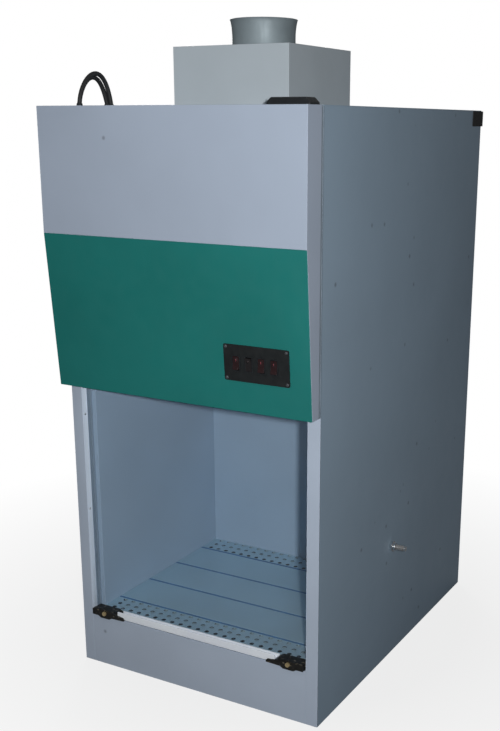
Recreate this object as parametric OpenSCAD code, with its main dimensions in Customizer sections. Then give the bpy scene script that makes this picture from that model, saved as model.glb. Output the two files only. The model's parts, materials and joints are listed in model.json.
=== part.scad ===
// Bench-top biosafety cabinet with a vertically sliding view screen.
// Origin: centre of the footprint of the body, on the surface it stands on.
// +Z is up, -Y is the front, +X is the right-hand side seen from the front.

/* [Body] */
// Width over the two side panels
body_w = 700; // [690:5:860]
// Depth of the body behind the front face, without the hood
body_d = 950; // [900:10:1100]
// Height from the bench to the roof
body_h = 1420; // [1400:10:1500]
// Sheet metal thickness
sheet = 2; // [1.5:0.25:2.5]
// Height of the front sill below the opening
sill_h = 140; // [132:1:142]
// Width of each front pillar
pillar_w = 31; // [28:1:36]
// Depth of the return flange beside the opening
jamb_depth = 17; // [14:1:22]
// Width of the folded edges that stiffen the sheets
fold_w = 20; // [14:1:26]

/* [Hood] */
// How far the upper hood stands out from the body
hood_depth = 68; // [60:1:90]
// How far the lower lip of the hood stands out
hood_lip = 39; // [36:1:48]
// Height of the lower lip above the bench
hood_bottom = 764; // [740:2:790]
// Height of the bend between the slope and the upright face
hood_bend = 1135; // [1100:5:1200]
// Width of the dark seal between hood and body
hood_seal_w = 8; // [5:1:12]
// Depth of the folded lip under the slope
hood_fold = 14; // [10:1:20]

/* [Switch panel] */
// Width of the switch plate
plate_w = 165; // [160:1:190]
// Height of the switch plate along the slope
plate_h = 83; // [70:1:95]
// Thickness of the switch plate
plate_t = 3; // [2:0.5:4]
// Distance of the plate centre right of the cabinet centre
plate_x = 217.5; // [190:2.5:235]
// Height of the plate centre above the bench
plate_z = 877.5; // [860:2.5:1000]
// Spacing of the rocker switches
rocker_pitch = 32; // [28:0.5:36]
// Width of a rocker
rocker_w = 15; // [12:0.5:17]
// Height of a rocker
rocker_h = 30; // [26:1:34]
// Angle of a rocker either side of its middle position
rocker_tilt = 7; // [4:0.5:9]
// Running gap between a rocker and its bezel
rocker_gap = 0.4; // [0.3:0.05:0.6]
// Width of the bezel rim
bezel_rim = 2.2; // [1.5:0.1:3]

/* [Chamber] */
// Clear width of the work chamber
chamber_w = 610; // [590:5:620]
// Depth of the work chamber behind the front face
chamber_d = 570; // [540:5:620]
// Height of the work surface above the bench
floor_z = 150; // [148:1:156]
// Height of the chamber ceiling above the bench
ceiling_z = 768; // [764:1:800]
// Height of the supply filter
supply_filter_h = 90; // [70:5:120]
// Thickness of the ceiling diffuser with its folded edge
diffuser_h = 4; // [3:0.5:8]
// Pitch of the holes in the diffuser
diffuser_pitch = 60; // [50:5:80]
// Diameter of the holes in the diffuser
diffuser_hole = 12; // [6:1:20]

/* [Work floor] */
// Distance of the rear edge of the front grille from the front face
front_grille_end = 98; // [92:1:110]
// Distance of the front edge of the rear grille from the front face
rear_grille_start = 492; // [480:2:510]
// Number of lift-out trays
tray_count = 3; // [3:1:3]
// Width of the seal between two floor sections
seam_w = 8; // [5:1:10]
// Height of the folded edges of the trays
tray_fold = 20; // [12:1:28]
// Diameter of the grille holes
grille_hole = 11.5; // [8:0.5:13]
// Pitch of the grille holes along a row
grille_pitch = 26.5; // [24:0.5:32]
// Nominal distance between rows of grille holes
grille_row = 26; // [22:1:30]
// Side clearance of trays and grilles
tray_gap = 0.3; // [0.2:0.05:0.5]

/* [View screen] */
// Thickness of the clear pane
pane_t = 6; // [5:0.5:8]
// How far the clear pane reaches above the chamber ceiling
pane_lap = 12; // [6:1:20]
// Running gap of the pane in its guides, each side
pane_gap = 0.3; // [0.2:0.05:0.5]
// How far the pane runs into each guide
pane_grip = 22; // [16:1:23]
// Depth of the moulded guides from front to back
guide_depth = 19; // [17:1:22]
// Height of the finger rail
rail_h = 19; // [16:1:24]
// Wall thickness of the finger rail
rail_t = 3; // [2:0.5:4]
// How far rail and clamps stand out in front of the body
rail_out = 3; // [1:0.5:5]
// Length of the block of each corner clamp
clamp_len = 79; // [76:1:92]
// Height of each corner clamp
clamp_h = 19; // [17:1:24]
// Distance of each clamp screw from the outer end of its clamp
clamp_screw_in = 40; // [37:1:44]
// Diameter of the clamp screw heads
clamp_screw_d = 11; // [9:0.5:13]
// How far the arm of each clamp laps over the finger rail
arm_in = 22; // [16:1:28]
// How far the tab of each clamp hangs in front of the sill
tab_h = 5; // [3:0.5:8]
// Diameter of the clamp screw shanks
clamp_shank_d = 6; // [5:0.5:8]

/* [Roof] */
// Width and depth of the exhaust box
exhaust_w = 314; // [290:2:330]
// Height of the exhaust box above the roof
exhaust_h = 137; // [110:1:170]
// Distance of the exhaust box from the front face
exhaust_y = 200; // [180:5:240]
// Outer diameter of the straight foot of the duct collar
collar_d = 153; // [140:1:180]
// Height of the duct collar
collar_h = 66; // [50:1:90]
// Height of the straight foot of the duct collar
collar_foot = 26; // [16:1:34]
// How far the mouth of the duct collar flares out on each side
collar_flare = 4.5; // [3:0.5:8]
// Wall thickness of the duct collar
collar_wall = 1.5; // [1:0.25:3]
// Height of the exhaust filter
exhaust_filter_h = 90; // [70:5:120]
// Length of the wiring cover
wiring_cover_w = 104; // [90:1:130]
// Distance of the wiring cover from the right-hand side
wiring_cover_in = 34; // [24:1:44]
// Height of the wiring cover
wiring_cover_h = 16; // [12:1:22]
// Depth of the wiring cover
wiring_cover_d = 44; // [36:1:60]
// Diameter of each switch lead
lead_d = 10.5; // [8:0.5:11]
// Height of the arch of the outer switch lead
lead_rise = 72; // [66:1:90]

/* [Blower] */
// Outer diameter of the blower wheel
wheel_d = 210; // [190:2:220]
// Width of the blower wheel
wheel_w = 150; // [120:5:170]
// Number of wheel blades
blade_count = 32; // [24:1:36]
// Radial length of a blade
blade_len = 20; // [16:1:24]
// Height of the wheel axis above the bench
blower_z = 1060; // [1040:5:1120]
// Distance of the wheel axis behind the front face
blower_y = 730; // [720:5:740]
// Gap between the wheel and the scroll at its cut-off
scroll_gap = 12; // [8:1:16]
// Growth of the scroll radius from cut-off to outlet
scroll_rise = 60; // [50:1:66]
// Diameter of the motor body
motor_d = 120; // [100:2:140]
// Length of the motor body
motor_l = 110; // [90:5:120]
// Diameter of the motor shaft
shaft_d = 12; // [10:1:16]

/* [Service cock] */
// Height of the service cock above the bench
cock_z = 317; // [280:1:400]
// Distance of the service cock behind the front face
cock_y = 410; // [360:5:450]
// Length of the hose nipple outside the cabinet
nipple_l = 42; // [34:1:50]
// Diameter of the supply pipe
pipe_d = 14; // [10:1:16]

/* [Lamps] */
// Diameter of the fluorescent tube
lamp_d = 26; // [16:1:26]
// Diameter of the ultraviolet tube
uv_d = 16; // [14:1:26]
// Distance of each end of the fluorescent tube from the side of the hood
lamp_end = 48; // [44:1:60]
// Distance of each end of the ultraviolet tube from the chamber wall
uv_end = 25; // [16:1:40]
// Distance of the ultraviolet tube in front of the back wall
uv_out = 30; // [20:1:40]
// Distance of the ultraviolet tube below the ceiling
uv_drop = 40; // [30:1:60]

/* [Hidden] */
eps = 0.01;

// Planes of the body
front = -body_d / 2;
back = body_d / 2;
right = body_w / 2;
roof_z = body_h - sheet;
inner_x = right - sheet;
jamb_x = right - pillar_w;
guide_back = front + jamb_depth + guide_depth;
chamber_x = chamber_w / 2;
chamber_back = front + chamber_d;
wall_back = chamber_back + sheet;
plenum_back = wall_back + sheet;

// Slope of the hood
slope_run = hood_depth - hood_lip;
slope_rise = hood_bend - hood_bottom;
slope_a = atan(slope_run / slope_rise);
function slope_y(z) = front - hood_lip - (z - hood_bottom) * slope_run / slope_rise;
module on_slope(x, z) translate([x, slope_y(z), z]) rotate([slope_a, 0, 0]) children();

// Box given by its two corners
module span(a, b) translate(a) cube(b - a);
// Outline in the YZ plane, extruded along X from x0 to x1
module along_x(x0, x1) translate([x0, 0, 0]) rotate([90, 0, 90]) linear_extrude(x1 - x0) children();
// Outline in the XZ plane, extruded along Y from y0 to y1
module along_y(y0, y1) translate([0, y1, 0]) rotate([90, 0, 0]) linear_extrude(y1 - y0) children();
module rod_x(x0, x1, d, fn = 48) translate([x0, 0, 0]) rotate([0, 90, 0])
    cylinder(d = d, h = x1 - x0, $fn = fn);
module rod_y(y0, y1, d, fn = 48) translate([0, y0, 0]) rotate([-90, 0, 0])
    cylinder(d = d, h = y1 - y0, $fn = fn);

// ---------------------------------------------------------------- body shell
pan_fold = 30;
module base_pan() color("silver") difference() {
    span([-inner_x, front + sheet, 0], [inner_x, back - sheet, pan_fold]);
    span([-inner_x + sheet, front + 2 * sheet, sheet], [inner_x - sheet, back - 2 * sheet, pan_fold + 1]);
}

cock_y0 = front + cock_y;
module side_panel() {
    span([inner_x, front + sheet, 0], [right, back, roof_z]);
    // rear flange that carries the rear panel
    span([inner_x - fold_w, back - 2 * sheet, pan_fold], [inner_x, back - sheet, roof_z]);
}
module left_side_panel() color("slategray") mirror([1, 0, 0]) side_panel();
module right_side_panel() color("slategray") difference() {
    side_panel();
    translate([0, cock_y0, cock_z]) rod_x(inner_x - 1, right + 1, pipe_d + 0.2);
}

screw_end = 60;
screw_z = [for (i = [0 : 4]) screw_end + i * (body_h - 2 * screw_end) / 4];
module rear_panel() color("slategray") difference() {
    span([-inner_x, back - sheet, 0], [inner_x, back, roof_z]);
    for (s = [-1, 1], z = screw_z) translate([s * (inner_x - fold_w / 2), 0, z])
        rod_y(back - sheet - 1, back + 1, 5.4, 24);
}
// Pan-head screws that hold the rear panel to the flanges of the side panels
module rear_panel_screws() color("gainsboro")
    for (s = [-1, 1], z = screw_z) translate([s * (inner_x - fold_w / 2), back, z]) {
        rod_y(-sheet, 0.5, 5, 24);
        rotate([-90, 0, 0]) cylinder(d1 = 10, d2 = 6, h = 3, $fn = 32);
    }

roof_hole = exhaust_w - 24;
exhaust_cy = front + exhaust_y + exhaust_w / 2;
module roof_panel() color("slategray") difference() {
    span([-right, front, roof_z], [right, back, body_h]);
    span([-roof_hole / 2, exhaust_cy - roof_hole / 2, roof_z - 1],
        [roof_hole / 2, exhaust_cy + roof_hole / 2, body_h + 1]);
    for (p = lead_rear) translate([p[0], p[1], roof_z - 1]) cylinder(d = lead_d + 4, h = sheet + 2, $fn = 32);
}

module pillar() {
    span([jamb_x, front, 0], [right, front + sheet, roof_z]);
    // return flange beside the opening, clear of the base pan
    span([jamb_x, front, pan_fold], [jamb_x + sheet, front + jamb_depth, roof_z]);
}
module left_pillar() color("gainsboro") mirror([1, 0, 0]) pillar();
module right_pillar() color("gainsboro") pillar();

// Sill: front face, top shelf under the screen and a folded rear edge
module front_sill() color("gainsboro") along_x(-jamb_x, jamb_x)
    polygon([[front, 0], [front, sill_h], [guide_back, sill_h], [guide_back, sill_h - fold_w],
        [guide_back - sheet, sill_h - fold_w], [guide_back - sheet, sill_h - sheet],
        [front + sheet, sill_h - sheet], [front + sheet, 0]]);

// ---------------------------------------------------------------- work chamber
wall_top = ceiling_z - sheet;
module chamber_wall() {
    span([chamber_x, guide_back, sheet], [chamber_x + sheet, wall_back, ceiling_z]);
    // front return that meets the screen guide
    span([chamber_x, guide_back, sill_h], [inner_x, guide_back + sheet, ceiling_z]);
    // top flange that carries the supply filter
    span([chamber_x, guide_back, wall_top], [inner_x, plenum_back, ceiling_z]);
}
module left_chamber_wall() color("lightsteelblue") mirror([1, 0, 0]) chamber_wall();
module right_chamber_wall() color("lightsteelblue") difference() {
    chamber_wall();
    translate([0, cock_y0, cock_z]) rod_x(chamber_x - 1, chamber_x + sheet + 1, pipe_d + 0.2);
}
// The back wall stops short of the sump, so that the air passes behind it
module back_chamber_wall() color("lightsteelblue") {
    span([-chamber_x, chamber_back, floor_z - fold_w], [chamber_x, wall_back, ceiling_z]);
    span([-chamber_x, chamber_back, wall_top], [chamber_x, chamber_back + fold_w, ceiling_z]);
}

// Perforated diffuser under the supply filter
diff_x = chamber_x - tray_gap;
diff_y0 = guide_back + sheet;
diff_y1 = chamber_back - tray_gap;
diff_nx = floor((2 * diff_x - diffuser_pitch) / diffuser_pitch / 2);
diff_ny = floor((diff_y1 - diff_y0 - diffuser_pitch) / diffuser_pitch);
module ceiling_diffuser() color("whitesmoke") difference() {
    span([-diff_x, diff_y0, ceiling_z - diffuser_h], [diff_x, diff_y1, ceiling_z]);
    span([-diff_x + sheet, diff_y0 + sheet, ceiling_z - diffuser_h + sheet],
        [diff_x - sheet, diff_y1 - sheet, ceiling_z + 1]);
    for (i = [-diff_nx : diff_nx], j = [0 : diff_ny])
        translate([i * diffuser_pitch, (diff_y0 + diff_y1) / 2 + (j - diff_ny / 2) * diffuser_pitch,
            ceiling_z - diffuser_h - 1]) cylinder(d = diffuser_hole, h = sheet + 2, $fn = 24);
}

// Angle rails on the side walls that carry the floor sections
rail_top = floor_z - sheet;
rail_leg = 20;
module tray_rails() color("silver") for (s = [0, 1]) mirror([s, 0, 0]) {
    span([chamber_x - rail_leg, guide_back + sheet, rail_top - sheet], [chamber_x, chamber_back, rail_top]);
    span([chamber_x - sheet, guide_back + sheet, rail_top - rail_leg], [chamber_x, chamber_back, rail_top]);
}

// Floor sections: sheet with folded front and rear edges that clear the rails
tray_x = chamber_x - tray_gap;
fold_x = chamber_x - rail_leg - 1;
module section(y0, y1, fold0 = tray_fold, fold1 = tray_fold) {
    span([-tray_x, y0, rail_top], [tray_x, y1, floor_z]);
    span([-fold_x, y0, rail_top - fold0], [fold_x, y0 + sheet, rail_top + eps]);
    span([-fold_x, y1 - sheet, rail_top - fold1], [fold_x, y1, rail_top + eps]);
}
// Rows of round holes in a square grid, spread evenly between the folded edges y0 and y1
hole_edge = grille_hole / 2 + sheet + 0.2;
module hole_rows(y0, y1) {
    run = y1 - y0 - 2 * hole_edge;
    rows = max(1, round(run / grille_row));
    cols = floor((2 * tray_x - 2 * grille_hole) / grille_pitch);
    for (j = [0 : rows], i = [0 : cols - 1])
        translate([(i - (cols - 1) / 2) * grille_pitch, y0 + hole_edge + j * run / rows, rail_top - 1])
            cylinder(d = grille_hole, h = sheet + 2, $fn = 24);
}
grille_y0 = guide_back - sheet;
grille_y1 = front + front_grille_end - seam_w / 2;
tray_run = (rear_grille_start - front_grille_end) / tray_count;
function tray_y(i) = front + front_grille_end + i * tray_run;
module tray(i) color("lightgray") section(tray_y(i) + seam_w / 2, tray_y(i + 1) - seam_w / 2);
module front_grille() color("lightgray") difference() {
    union() {
        span([-tray_x, grille_y0 - 2, rail_top], [tray_x, grille_y1, floor_z]);
        span([-tray_x, grille_y0 - 2, sill_h], [tray_x, grille_y0, rail_top + eps]);
        span([-fold_x, grille_y1 - sheet, rail_top - tray_fold], [fold_x, grille_y1, rail_top + eps]);
    }
    hole_rows(grille_y0 - 2, grille_y1);
}
module front_tray() tray(0);
module middle_tray() tray(1);
module rear_tray() tray(2);
rear_y0 = tray_y(tray_count) + seam_w / 2;
rear_y1 = chamber_back - tray_gap;
module rear_grille() color("lightgray") difference() {
    section(rear_y0, rear_y1);
    hole_rows(rear_y0, rear_y1);
}
// Blue sealing strips between the floor sections
seal_gap = 0.2;
module tray_seals() color("steelblue") for (i = [0 : tray_count])
    span([-tray_x, tray_y(i) - seam_w / 2 + seal_gap, rail_top],
        [tray_x, tray_y(i) + seam_w / 2 - seal_gap, floor_z - 0.4]);

// ---------------------------------------------------------------- filters and plenum
module plenum_front_wall() color("silver")
    span([-inner_x, guide_back, ceiling_z], [inner_x, guide_back + sheet, roof_z]);

outlet_w = wheel_w + 24;
wheel_r = wheel_d / 2;
scroll_r0 = wheel_r + scroll_gap;
scroll_r1 = scroll_r0 + scroll_rise;
outlet_z0 = blower_z + wheel_r * 0.52;
outlet_z1 = blower_z + scroll_r1;
module plenum_rear_wall() color("silver") difference() {
    span([-inner_x, wall_back, ceiling_z], [inner_x, plenum_back, roof_z]);
    span([-outlet_w / 2 + sheet, wall_back - 1, outlet_z0 + sheet],
        [outlet_w / 2 - sheet, plenum_back + 1, outlet_z1 - sheet]);
}

// A pleated filter: board frame round a folded sheet of filter paper
filter_rim = 18;
pleat_count = 24;
module filter(x, y0, y1, z0, z1) {
    step = (x - filter_rim) / pleat_count;
    fold = [for (i = [0 : 2 * pleat_count]) [-x + filter_rim + i * step, i % 2 == 0 ? z0 + 12 : z1 - 12]];
    difference() {
        span([-x, y0, z0], [x, y1, z1]);
        span([-x + filter_rim, y0 + filter_rim, z0 - 1], [x - filter_rim, y1 - filter_rim, z1 + 1]);
    }
    along_y(y0 + filter_rim - 1, y1 - filter_rim + 1) polygon(concat([[-x + filter_rim - 1, z0 + 9]],
        [for (p = fold) p - [0, 3]], [[x - filter_rim + 1, z0 + 9], [x - filter_rim + 1, z0 + 15]],
        [for (i = [2 * pleat_count : -1 : 0]) fold[i] + [0, 3]], [[-x + filter_rim - 1, z0 + 15]]));
}
module supply_filter() color("white")
    filter(inner_x - 18, guide_back + sheet, wall_back, ceiling_z, ceiling_z + supply_filter_h);
module exhaust_filter() color("white")
    filter(roof_hole / 2 + 8, exhaust_cy - roof_hole / 2 - 8, exhaust_cy + roof_hole / 2 + 8,
        roof_z - exhaust_filter_h, roof_z);

// ---------------------------------------------------------------- hood
hood_front = front - hood_depth;
seal_front = front - hood_seal_w;
module hood_cover() color("lightsteelblue") {
    // side cheeks behind the sloped panel
    for (s = [0, 1]) mirror([s, 0, 0]) along_x(inner_x, right) polygon([[seal_front, hood_bottom],
        [front - hood_lip + sheet, hood_bottom], [hood_front + sheet, hood_bend], [hood_front, hood_bend],
        [hood_front, body_h], [seal_front, body_h]]);
    // upright face and top
    difference() {
        union() {
            span([-inner_x - eps, hood_front, hood_bend], [inner_x + eps, hood_front + sheet, body_h]);
            span([-inner_x - eps, hood_front, roof_z], [inner_x + eps, seal_front, body_h]);
        }
        for (p = lead_front) translate([p[0], p[1], roof_z - 1])
            cylinder(d = lead_d + 4, h = sheet + 2, $fn = 32);
    }
}
rocker_x = [for (i = [0 : 3]) (i - 1.5) * rocker_pitch - 2.5];
window_w = rocker_w + 2 * rocker_gap;
window_h = rocker_h + 2;
module hood_panel() color("seagreen") difference() {
    union() {
        along_x(-right, right) polygon([[front - hood_lip, hood_bottom], [hood_front, hood_bend],
            [hood_front + sheet, hood_bend], [front - hood_lip + sheet, hood_bottom]]);
        // the folded lip runs between the cheeks
        span([-inner_x, front - hood_lip + sheet / 2, hood_bottom],
            [inner_x, front - hood_lip + hood_fold, hood_bottom + sheet]);
    }
    on_slope(plate_x - 2.5, plate_z) cube([3 * rocker_pitch + window_w + 8, 20, window_h + 4], center = true);
    for (s = [-1, 1], t = [-1, 1]) on_slope(plate_x, plate_z)
        translate([s * screw_dx, 0, t * screw_dz]) rod_y(-1, 4, 3.4, 24);
}
seal_w = 12;
module hood_seal() color("black") difference() {
    span([-right + 1, seal_front, hood_bottom], [right - 1, front, body_h - 1]);
    span([-right + 1 + seal_w, seal_front - 1, hood_bottom - 1],
        [right - 1 - seal_w, front + 1, body_h - 1 - seal_w]);
}

// ---------------------------------------------------------------- switch panel
screw_dx = plate_w / 2 - 6;
screw_dz = plate_h / 2 - 6;
module rounded_slab(w, h, t, r) rotate([90, 0, 0]) linear_extrude(t) union() {
    square([w - 2 * r, h], center = true);
    square([w, h - 2 * r], center = true);
    for (s = [-1, 1], u = [-1, 1]) translate([s * (w / 2 - r), u * (h / 2 - r)]) circle(r = r, $fn = 32);
}
module windows(d0, d1) for (x = rocker_x)
    translate([x, 0, 0]) span([-window_w / 2, d0, -window_h / 2], [window_w / 2, d1, window_h / 2]);
module switch_plate() color("darkslategray") on_slope(plate_x, plate_z) difference() {
    rounded_slab(plate_w, plate_h, plate_t, 4);
    windows(-plate_t - 1, 1);
    for (s = [-1, 1], t = [-1, 1]) translate([s * screw_dx, 0, t * screw_dz]) rod_y(-plate_t - 1, 1, 3.4, 24);
}
bezel_t = 2;
module switch_bezels() color("black") on_slope(plate_x, plate_z) difference() {
    for (x = rocker_x) translate([x, -plate_t, 0])
        rounded_slab(window_w + 2 * bezel_rim, window_h + 2 * bezel_rim, bezel_t, 1.5);
    windows(-plate_t - bezel_t - 1, 1);
}
module plate_screws() color("gainsboro") on_slope(plate_x, plate_z)
    for (s = [-1, 1], t = [-1, 1]) translate([s * screw_dx, 0, t * screw_dz]) {
        rod_y(-plate_t - 0.5, sheet, 3, 24);
        translate([0, -plate_t, 0]) rotate([90, 0, 0]) cylinder(d1 = 7, d2 = 4.5, h = 1.8, $fn = 32);
    }

// Rocker: shallow V in front of its pivot, narrower body behind the plate
pivot_y = -plate_t + 1;
module rocker(i, tilt) on_slope(plate_x, plate_z) translate([rocker_x[i], pivot_y, 0]) rotate([tilt, 0, 0])
    along_x(-rocker_w / 2, rocker_w / 2) {
        rise = rocker_h / 2 * tan(rocker_tilt);
        dip = plate_t + bezel_t + 0.2 + pivot_y;
        polygon([[-dip, 0], [-dip - rise, rocker_h / 2 - 0.6], [-dip - rise + 0.6, rocker_h / 2],
            [0.5, rocker_h / 2], [8, rocker_h / 3], [8, -rocker_h / 3], [0.5, -rocker_h / 2],
            [-dip - rise + 0.6, -rocker_h / 2], [-dip - rise, -rocker_h / 2 + 0.6]]);
    }
module rocker_1() color("red") rocker(0, -rocker_tilt);
module rocker_2() color("maroon") rocker(1, rocker_tilt);
module rocker_3() color("red") rocker(2, -rocker_tilt);
module rocker_4() color("red") rocker(3, -rocker_tilt);

// ---------------------------------------------------------------- view screen
guide_x0 = jamb_x - 2;
slot_y0 = front + jamb_depth + (guide_depth - pane_t) / 2 - pane_gap;
slot_y1 = slot_y0 + pane_t + 2 * pane_gap;
pane_x = guide_x0 + pane_grip;
module sash_guide() translate([0, 0, sill_h]) linear_extrude(roof_z - sill_h) difference() {
    translate([guide_x0, front + jamb_depth]) square([inner_x - guide_x0, guide_depth]);
    translate([guide_x0 - 1, slot_y0]) square([pane_grip + 1 + pane_gap, slot_y1 - slot_y0]);
    // relief that lightens the moulding behind the slot
    translate([inner_x - 4, front + jamb_depth + 4]) square([5, guide_depth - 8]);
}
module left_sash_guide() color("black") mirror([1, 0, 0]) sash_guide();
module right_sash_guide() color("black") sash_guide();

pane_z = sill_h + 0.3;
pane_h = ceiling_z + pane_lap - pane_z;
pane_y0 = slot_y0 + pane_gap;
module sash_pane() color("lightblue", 0.3)
    span([-pane_x, pane_y0, pane_z], [pane_x, pane_y0 + pane_t, pane_z + pane_h]);

rail_front = front - rail_out;
rail_z = sill_h + 3;
clamp_x = guide_x0 - 3;
rail_x = clamp_x - clamp_len;
// Finger rail: channel open at the top, fixed to the face of the pane
module sash_rail() color("white") along_x(-rail_x, rail_x) {
    polygon([[rail_front + 1.5, rail_z], [rail_front, rail_z + 1.5], [rail_front, rail_z + rail_h - 1],
        [rail_front + 1, rail_z + rail_h], [rail_front + rail_t, rail_z + rail_h],
        [rail_front + rail_t, rail_z + rail_t], [pane_y0 - rail_t, rail_z + rail_t],
        [pane_y0 - rail_t, rail_z + rail_h * 0.6], [pane_y0, rail_z + rail_h * 0.6], [pane_y0, rail_z]]);
}
// Corner clamp: low block in front of the pane, a tapering arm and a hanging tab
clamp_front = front - rail_out - 4;
clamp_z = sill_h + 0.6;
clamp_screw_x = clamp_x - clamp_screw_in;
clamp_screw_z = clamp_z + clamp_h * 0.5;
block_x = rail_x + 0.3;
arm_x = rail_x + 14;
module sash_clamp() difference() {
    union() {
        along_y(front + 0.5, pane_y0) polygon([[clamp_x, clamp_z], [clamp_x, clamp_z + clamp_h - 4],
            [clamp_x - 3, clamp_z + clamp_h - 2], [block_x + 12, clamp_z + clamp_h - 2],
            [block_x, clamp_z + clamp_h * 0.55], [block_x, clamp_z]]);
        along_y(clamp_front, front + 0.5 + eps) polygon([[clamp_x, clamp_z],
            [clamp_x, clamp_z + clamp_h - 4], [clamp_x - 4, clamp_z + clamp_h],
            [clamp_screw_x - clamp_screw_d, clamp_z + clamp_h], [block_x, clamp_z + clamp_h * 0.6],
            [block_x, clamp_z + 2], [arm_x, clamp_z]]);
        // arm that laps over the end of the finger rail
        along_y(clamp_front, rail_front - 0.3) polygon([[arm_x, clamp_z],
            [arm_x, clamp_z + clamp_h * 0.7], [rail_x, clamp_z + clamp_h * 0.6],
            [rail_x - arm_in + 4, clamp_z + 9], [rail_x - arm_in, clamp_z + 6], [rail_x - arm_in, clamp_z + 1]]);
        // tab that overlaps the face of the sill
        along_y(clamp_front, front - 0.5) polygon([[clamp_screw_x + 22, clamp_z + eps],
            [clamp_screw_x - 22, clamp_z + eps], [clamp_screw_x - 14, clamp_z - tab_h],
            [clamp_screw_x + 14, clamp_z - tab_h]]);
    }
    translate([clamp_screw_x, 0, clamp_screw_z]) rod_y(clamp_front - 1, front + 12, clamp_shank_d + 0.1);
}
module left_sash_clamp() color("black") mirror([1, 0, 0]) sash_clamp();
module right_sash_clamp() color("black") sash_clamp();
// Knurled brass thumb screw
knurls = 16;
module clamp_screw(x) translate([x, 0, clamp_screw_z]) {
    rod_y(clamp_front - 1, front + 10, clamp_shank_d);
    difference() {
        rod_y(clamp_front - 5, clamp_front - 0.3, clamp_screw_d);
        for (i = [0 : knurls - 1]) rotate([0, i * 360 / knurls, 0]) translate([clamp_screw_d / 2 + 0.3, 0, 0])
            rod_y(clamp_front - 6, clamp_front, 1.6, 16);
    }
}
module left_clamp_screw() color("goldenrod") clamp_screw(-clamp_screw_x);
module right_clamp_screw() color("goldenrod") clamp_screw(clamp_screw_x);

// ---------------------------------------------------------------- lamps
lamp_y = front - hood_lip * 0.56;
lamp_z = hood_bottom + lamp_d / 2 + 25;
lamp_len = 2 * (inner_x - lamp_end);
module lamp_tube(y, z, d) translate([0, y, z]) {
    rod_x(-lamp_len / 2 + 14, lamp_len / 2 - 14, d);
    for (s = [0, 1]) mirror([s, 0, 0]) {
        rod_x(lamp_len / 2 - 14 - eps, lamp_len / 2 - 2, d + 1);
        for (t = [-1, 1]) translate([0, 0, t * d / 4]) rod_x(lamp_len / 2 - 2 - eps, lamp_len / 2 + 6, 2.4, 24);
    }
}
module holder_block(y, z, d, y_seat) difference() {
    union() {
        span([lamp_len / 2, min(y, y_seat) - (y_seat > y ? d / 2 + 2 : 0), z - d / 2 - 3],
            [lamp_len / 2 + 12, max(y, y_seat), z + d / 2 + 3]);
    }
    translate([0, y, z]) for (t = [-1, 1]) translate([0, 0, t * d / 4])
        rod_x(lamp_len / 2 - 1, lamp_len / 2 + 8, 2.8, 24);
}
module fluorescent_tube() color("white") lamp_tube(lamp_y, lamp_z, lamp_d);
module fluorescent_holders() color("ivory") for (s = [0, 1]) mirror([s, 0, 0]) {
    holder_block(lamp_y, lamp_z, lamp_d, front);
    // foot screwed to the face of the pillar
    span([lamp_len / 2 + 12 - eps, front - 3, lamp_z - lamp_d / 2 - 3],
        [inner_x - seal_w - 2, front, lamp_z + lamp_d / 2 + 3]);
}
uv_y = chamber_back - uv_out;
uv_z = ceiling_z - uv_drop;
uv_len = 2 * (chamber_x - uv_end);
module uv_tube() color("lightcyan") translate([0, uv_y, uv_z]) {
    rod_x(-uv_len / 2 + 12, uv_len / 2 - 12, uv_d);
    for (s = [0, 1]) mirror([s, 0, 0]) {
        rod_x(uv_len / 2 - 12 - eps, uv_len / 2 - 2, uv_d + 1);
        for (t = [-1, 1]) translate([0, 0, t * 4]) rod_x(uv_len / 2 - 2 - eps, uv_len / 2 + 6, 2.4, 24);
    }
}
module uv_holders() color("ivory") for (s = [0, 1]) mirror([s, 0, 0]) difference() {
    span([uv_len / 2, uv_y - uv_d / 2 - 2, uv_z - uv_d / 2 - 3],
        [uv_len / 2 + 12, chamber_back, uv_z + uv_d / 2 + 3]);
    translate([0, uv_y, uv_z]) for (t = [-1, 1]) translate([0, 0, t * 4])
        rod_x(uv_len / 2 - 1, uv_len / 2 + 8, 2.8, 24);
}

// ---------------------------------------------------------------- blower
axis_y = front + blower_y;
// Scroll outline: the radius grows evenly from the cut-off round to the outlet
steps = 36;
function scroll_r(i) = scroll_r0 + (scroll_r1 - scroll_r0) * i / steps;
function scroll_pt(i, shrink) = let (a = i * 360 / steps, r = scroll_r(i) - shrink)
    [axis_y - r * sin(a), blower_z + r * cos(a)];
module scroll(shrink) {
    polygon([for (i = [0 : steps]) scroll_pt(i, shrink)]);
    translate([plenum_back - (shrink > 0 ? 1 : 0), outlet_z0 + shrink])
        square([axis_y - plenum_back + (shrink > 0 ? 1 : 0), outlet_z1 - outlet_z0 - 2 * shrink]);
}
half_w = outlet_w / 2;
inlet_d = wheel_d - 2 * blade_len - 6;
module blower_housing() color("silver") {
    difference() {
        along_x(-half_w, half_w) scroll(0);
        along_x(-half_w + sheet, half_w - sheet) scroll(sheet);
        translate([0, axis_y, blower_z]) {
            rod_x(-half_w - 1, -half_w + sheet + 1, inlet_d, 72);
            rod_x(half_w - sheet - 1, half_w + 1, shaft_d + 16);
        }
    }
    // flange that fixes the outlet to the plenum wall
    difference() {
        span([-half_w - fold_w, plenum_back, outlet_z0 - fold_w],
            [half_w + fold_w, plenum_back + sheet, outlet_z1 + fold_w]);
        span([-half_w, plenum_back - 1, outlet_z0], [half_w, plenum_back + sheet + 1, outlet_z1]);
    }
}
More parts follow.
